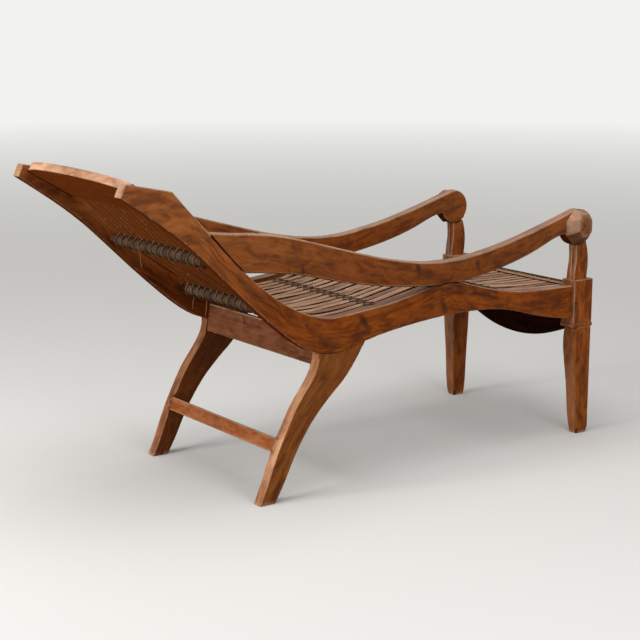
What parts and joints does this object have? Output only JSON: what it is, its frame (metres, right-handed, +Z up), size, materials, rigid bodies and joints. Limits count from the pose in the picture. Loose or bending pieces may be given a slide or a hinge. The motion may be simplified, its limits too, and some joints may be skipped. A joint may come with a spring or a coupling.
{
  "type": "planters chair",
  "caption": "Reclining planters chair: curved side rails, lashed wooden slats, long scrolled arms, splayed back legs and square tapered front legs.",
  "frame": {"origin": "on the floor, under the middle of the chair's bounding box", "axes": "+Z up, -Y towards the foot end, +X towards the sitter's left"},
  "size_m": [0.682, 1.6792, 0.9373],
  "materials": {
    "teak_frame": "old hand-rubbed teak, warm red brown, edges worn pale",
    "bed_slats": "dry split wood, worn pinkish brown on top",
    "bed_rods": "dark round hardwood",
    "string": "grey brown waxed string",
    "iron": "dull old iron"
  },
  "bodies": {
    "root": {"arm_pegs": "teak_frame", "back_leg_cross_rail": "teak_frame", "back_leg_stretcher": "teak_frame", "batten_nails": "iron", "front_apron": "teak_frame", "front_lashing": "string", "front_rod": "bed_rods", "head_board": "teak_frame", "hump_lashing": "string", "hump_rod": "bed_rods", "left_arm": "teak_frame", "left_arm_boss": "teak_frame", "left_back_leg": "teak_frame", "left_front_leg": "teak_frame", "left_side_rail": "teak_frame", "lower_back_lashing": "string", "lower_back_rod": "bed_rods", "lower_long_string_tail": "string", "lower_short_string_tail": "string", "right_arm": "teak_frame", "right_arm_boss": "teak_frame", "right_back_leg": "teak_frame", "right_front_leg": "teak_frame", "right_side_rail": "teak_frame", "seat_lashing": "string", "seat_rod": "bed_rods", "slat_01": "bed_slats", "slat_02": "bed_slats", "slat_03": "bed_slats", "slat_04": "bed_slats", "slat_05": "bed_slats", "slat_06": "bed_slats", "slat_07": "bed_slats", "slat_08": "bed_slats", "slat_09": "bed_slats", "slat_10": "bed_slats", "slat_11": "bed_slats", "slat_12": "bed_slats", "slat_13": "bed_slats", "slat_14": "bed_slats", "slat_15": "bed_slats", "slat_16": "bed_slats", "slat_batten": "bed_slats", "slat_ledge": "bed_slats", "upper_back_lashing": "string", "upper_back_rod": "bed_rods", "upper_string_tail": "string"}
  },
  "joints": []
}
